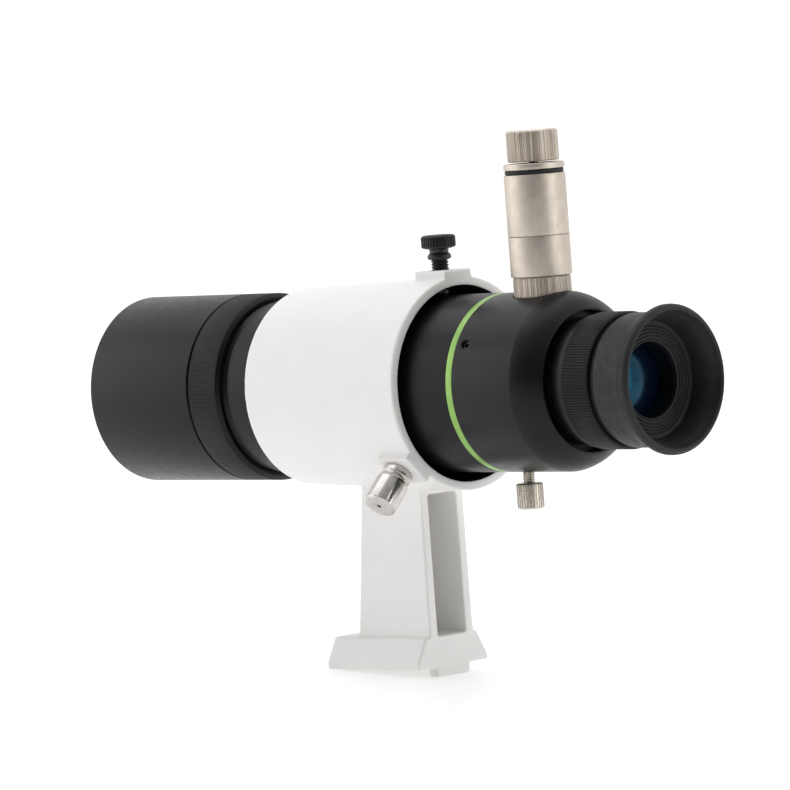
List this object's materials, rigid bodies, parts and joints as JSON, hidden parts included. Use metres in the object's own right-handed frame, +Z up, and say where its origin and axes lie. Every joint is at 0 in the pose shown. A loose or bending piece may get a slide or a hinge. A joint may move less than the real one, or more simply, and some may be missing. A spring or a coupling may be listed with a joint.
{
  "type": "finder scope",
  "caption": "Straight-through illuminated finder scope: black tube that tilts in a white ring bracket with a dovetail foot, focusing objective and eyepiece, and a screw-in reticle lamp.",
  "frame": {"origin": "middle of the flat underside of the dovetail foot, where it rests in a finder shoe", "axes": "+Z up through the optical axis, +Y forward along the optical axis towards the objective, +X to the right as seen from the eyepiece"},
  "size_m": [0.0874, 0.2354, 0.1748],
  "materials": {
    "white_paint": "satin white powder coat on an aluminium casting",
    "black_anodised": "fine matte black anodised aluminium",
    "flat_black": "flat black anodised aluminium",
    "green_anodised": "bright green anodised aluminium",
    "nickel": "bright nickel plate on brass",
    "satin_nickel": "champagne satin nickel, bead blasted",
    "black_nylon": "black moulded nylon",
    "black_rubber": "soft matte black rubber",
    "lens_glass": "clear optical glass with blue-green coating",
    "spring_steel": "bright spring steel wire",
    "brass": "plain brass",
    "steel": "black oxide steel",
    "cell_steel": "nickel-plated steel",
    "circuit_green": "green solder mask",
    "red_lamp": "clear red lamp body",
    "grey_plastic": "dark grey moulded plastic"
  },
  "bodies": {
    "bracket": {"ring_bracket": "white_paint", "plunger_housing": "nickel"},
    "pivot": {"pivot_ring": "black_rubber"},
    "tube": {"main_tube": "black_anodised", "glare_stop": "flat_black", "accent_ring": "green_anodised", "rear_body": "black_anodised", "reticle_holder": "flat_black", "reticle_glass": "lens_glass", "reticle_retainer": "flat_black", "set_screws": "steel", "illuminator_base": "satin_nickel", "illuminator_lower_case": "satin_nickel", "lamp": "red_lamp", "circuit_board": "circuit_green", "button_cells": "cell_steel", "cell_sleeve": "grey_plastic", "contact_spring": "spring_steel"},
    "objective": {"crown_lens": "lens_glass", "flint_lens": "lens_glass", "objective_spacer": "brass", "objective_retainer": "flat_black"},
    "shield": {"dew_shield": "black_anodised"},
    "lock": {"lock_ring": "black_anodised"},
    "top_tip": {"top_screw_tip": "black_nylon"},
    "top_screw": {"top_adjusting_screw": "black_nylon"},
    "side_tip": {"side_screw_tip": "black_nylon"},
    "side_screw": {"side_adjusting_screw": "black_nylon"},
    "spring": {"plunger_spring": "spring_steel"},
    "pin": {"plunger_pin": "steel"},
    "clamp_tip": {"clamp_screw_tip": "brass"},
    "clamp": {"clamp_screw": "satin_nickel"},
    "upper_case": {"illuminator_upper_case": "satin_nickel", "seal_ring": "black_rubber", "switch_base": "satin_nickel", "dimmer": "grey_plastic"},
    "dimmer_control": {"dimmer_shaft": "steel", "dimmer_knob": "satin_nickel"},
    "eye_optics": {"eye_lens": "lens_glass", "eye_lens_flint": "lens_glass", "eyepiece_spacer": "flat_black", "field_lens": "lens_glass", "field_lens_retainer": "flat_black", "field_stop": "flat_black"},
    "eyepiece": {"eyepiece_barrel": "black_anodised", "eyecup": "black_rubber"}
  },
  "joints": [
    {"name": "tilt_sideways", "type": "hinge", "parent": "bracket", "child": "pivot", "pos_m": [0, 0.0275, 0.0915], "axis": [0, 0, 1], "range_deg": [-1.5, 1.5]},
    {"name": "tilt_up_down", "type": "hinge", "parent": "pivot", "child": "tube", "pos_m": [0, 0.0275, 0.0915], "axis": [1, 0, 0], "range_deg": [-1.5, 1.5]},
    {"name": "top_tip_advance", "type": "slide", "parent": "bracket", "child": "top_tip", "axis": [0, 0, 1], "range_m": [-0.00145, 0.00145]},
    {"name": "top_screw_turn", "type": "hinge", "parent": "top_tip", "child": "top_screw", "pos_m": [0, -0.028, 0.1215], "axis": [0, 0, 1], "range_deg": [-523.34, 523.34]},
    {"name": "side_tip_advance", "type": "slide", "parent": "bracket", "child": "side_tip", "axis": [1, 0, 0], "range_m": [-0.00145, 0.00145]},
    {"name": "side_screw_turn", "type": "hinge", "parent": "side_tip", "child": "side_screw", "pos_m": [0.03, -0.028, 0.0915], "axis": [1, 0, 0], "range_deg": [-523.34, 523.34]},
    {"name": "spring_follow", "type": "slide", "parent": "bracket", "child": "spring", "axis": [-0.7071, 0, -0.7071], "range_m": [-0.00103, 0.00103]},
    {"name": "pin_follow", "type": "slide", "parent": "spring", "child": "pin", "axis": [-0.7071, 0, -0.7071], "range_m": [-0.00103, 0.00103]},
    {"name": "focus_advance", "type": "slide", "parent": "tube", "child": "objective", "axis": [0, 1, 0], "range_m": [-0.002, 0.002]},
    {"name": "focus_turn", "type": "hinge", "parent": "objective", "child": "shield", "pos_m": [0, 0.08, 0.0915], "axis": [0, 1, 0], "range_deg": [-720, 720]},
    {"name": "lock_ring_turn", "type": "hinge", "parent": "objective", "child": "lock", "pos_m": [0, 0.055, 0.0915], "axis": [0, 1, 0], "range_deg": [-90, 0]},
    {"name": "clamp_tip_advance", "type": "slide", "parent": "tube", "child": "clamp_tip", "axis": [0, 0, -1], "range_m": [0, 0.0028]},
    {"name": "clamp_screw_turn", "type": "hinge", "parent": "clamp_tip", "child": "clamp", "pos_m": [0, -0.0604, 0.0615], "axis": [0, 0, -1], "range_deg": [0, 1440.8]},
    {"name": "battery_cap_lift", "type": "slide", "parent": "tube", "child": "upper_case", "axis": [0, 0, 1], "range_m": [0, 0.016]},
    {"name": "dimmer_turn", "type": "hinge", "parent": "upper_case", "child": "dimmer_control", "pos_m": [0, -0.0724, 0.1665], "axis": [0, 0, 1], "range_deg": [-270, 0]},
    {"name": "eyepiece_advance", "type": "slide", "parent": "tube", "child": "eye_optics", "axis": [0, 1, 0], "range_m": [-0.0015, 0.0015]},
    {"name": "eyepiece_turn", "type": "hinge", "parent": "eye_optics", "child": "eyepiece", "pos_m": [0, -0.1, 0.0915], "axis": [0, 1, 0], "range_deg": [-270, 270]}
  ],
  "couplings": [
    {"joint": "top_tip_advance", "follows": "tilt_up_down", "m_per_rad": -0.0555},
    {"joint": "top_screw_turn", "follows": "tilt_up_down", "ratio": -348.72},
    {"joint": "side_tip_advance", "follows": "tilt_sideways", "m_per_rad": 0.0555},
    {"joint": "side_screw_turn", "follows": "tilt_sideways", "ratio": 348.72},
    {"joint": "spring_follow", "follows": "tilt_up_down", "m_per_rad": 0.039244},
    {"joint": "pin_follow", "follows": "tilt_sideways", "m_per_rad": -0.039244},
    {"joint": "focus_advance", "follows": "focus_turn", "m_per_rad": 0.00015915},
    {"joint": "clamp_screw_turn", "follows": "clamp_tip_advance", "rad_per_m": 8976},
    {"joint": "eyepiece_advance", "follows": "eyepiece_turn", "m_per_rad": 0.00031831}
  ]
}
